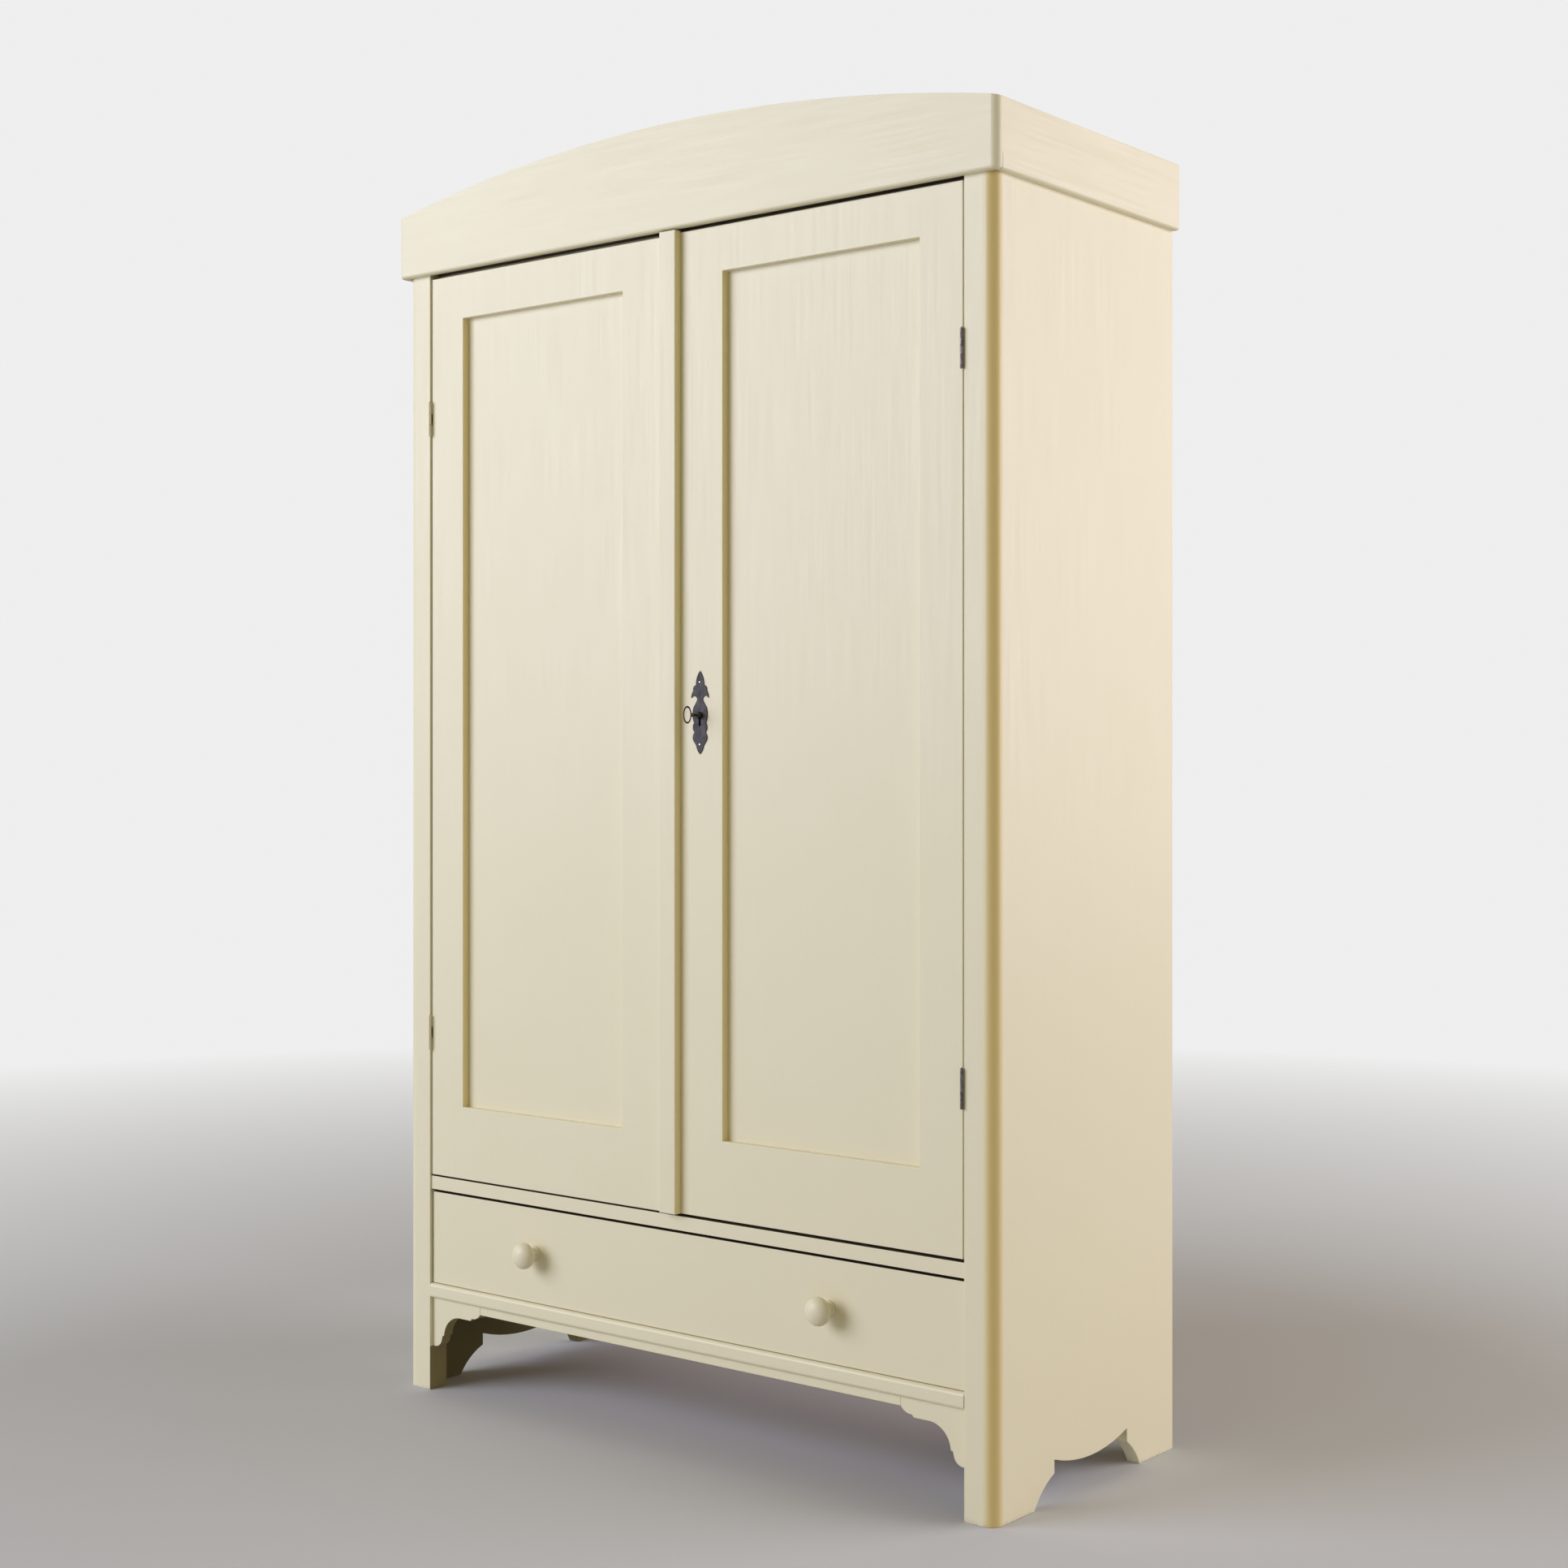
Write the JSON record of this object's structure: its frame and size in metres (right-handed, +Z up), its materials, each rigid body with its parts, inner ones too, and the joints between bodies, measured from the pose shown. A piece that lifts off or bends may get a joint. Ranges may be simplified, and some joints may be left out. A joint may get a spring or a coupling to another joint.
{
  "type": "linen cupboard",
  "caption": "Painted linen cupboard with an arched cornice, two panelled doors, a full-width drawer and scalloped feet.",
  "frame": {"origin": "on the floor, below the middle of the bounding box of the whole cupboard with its doors and drawer shut", "axes": "+Z up, -Y out of the front, +X to the right as seen from the front"},
  "size_m": [1.112, 0.484, 1.8614],
  "materials": {
    "paint": "brushed cream oil paint with a soft satin sheen",
    "pine": "unpainted aged pine",
    "iron": "dark, slightly rusty iron",
    "steel": "worn steel",
    "brass": "bright pin heads"
  },
  "bodies": {
    "carcase": {"post_left": "paint", "post_right": "paint", "side_board_left": "paint", "side_board_right": "paint", "back_board_1": "pine", "back_board_2": "pine", "back_board_3": "pine", "back_board_4": "pine", "top_rail": "paint", "mid_rail": "paint", "top_board": "pine", "floor_board": "pine", "rear_rail": "pine", "shelf_1": "pine", "shelf_2": "pine", "shelf_3": "pine", "shelf_battens": "pine", "cornice_front": "paint", "cornice_left": "paint", "cornice_right": "paint", "glue_blocks": "pine", "drawer_moulding": "paint", "apron_strip": "paint", "bracket_left": "paint", "bracket_right": "paint", "runner_left": "pine", "runner_right": "pine", "hinges_left_frame": "iron", "hinges_right_frame": "iron"},
    "door_left": {"door_left_hinge_stile": "paint", "door_left_meeting_stile": "paint", "door_left_bottom_rail": "paint", "door_left_top_rail": "paint", "door_left_panel": "paint", "hinges_left_door": "iron", "slide_bolt_guides": "iron", "lock_keeper": "iron"},
    "door_right": {"door_right_hinge_stile": "paint", "door_right_meeting_stile": "paint", "door_right_bottom_rail": "paint", "door_right_top_rail": "paint", "door_right_panel": "paint", "cover_strip": "paint", "hinges_right_door": "iron", "keyhole_plate": "iron", "plate_pins": "brass", "lock_case": "iron"},
    "drawer": {"drawer_front": "paint", "drawer_side_left": "pine", "drawer_side_right": "pine", "drawer_bottom": "pine", "drawer_back": "pine", "knobs": "paint"},
    "key": {"key": "iron"},
    "lock_bolt": {"lock_bolt": "steel"},
    "slide_bolt_upper": {"slide_bolt_upper": "steel"},
    "slide_bolt_lower": {"slide_bolt_lower": "steel"}
  },
  "joints": [
    {"name": "door_left_hinge", "type": "hinge", "parent": "carcase", "child": "door_left", "pos_m": [-0.4955, -0.2076, 1.02], "axis": [0, 0, -1], "range_deg": [0, 170]},
    {"name": "door_right_hinge", "type": "hinge", "parent": "carcase", "child": "door_right", "pos_m": [0.4955, -0.2076, 1.02], "axis": [0, 0, 1], "range_deg": [0, 170]},
    {"name": "drawer_slide", "type": "slide", "parent": "carcase", "child": "drawer", "axis": [0, -1, 0], "range_m": [0, 0.34]},
    {"name": "key_turn", "type": "hinge", "parent": "door_right", "child": "key", "pos_m": [0.0515, -0.203, 1.032], "axis": [0, -1, 0], "range_deg": [0, 360]},
    {"name": "lock_bolt_slide", "type": "slide", "parent": "door_right", "child": "lock_bolt", "axis": [-1, 0, 0], "range_m": [0, 0.012]},
    {"name": "upper_bolt_slide", "type": "slide", "parent": "door_left", "child": "slide_bolt_upper", "axis": [0, 0, 1], "range_m": [0, 0.014]},
    {"name": "lower_bolt_slide", "type": "slide", "parent": "door_left", "child": "slide_bolt_lower", "axis": [0, 0, -1], "range_m": [0, 0.014]}
  ],
  "couplings": [
    {"joint": "key_turn", "follows": "lock_bolt_slide", "rad_per_m": 523.59}
  ]
}
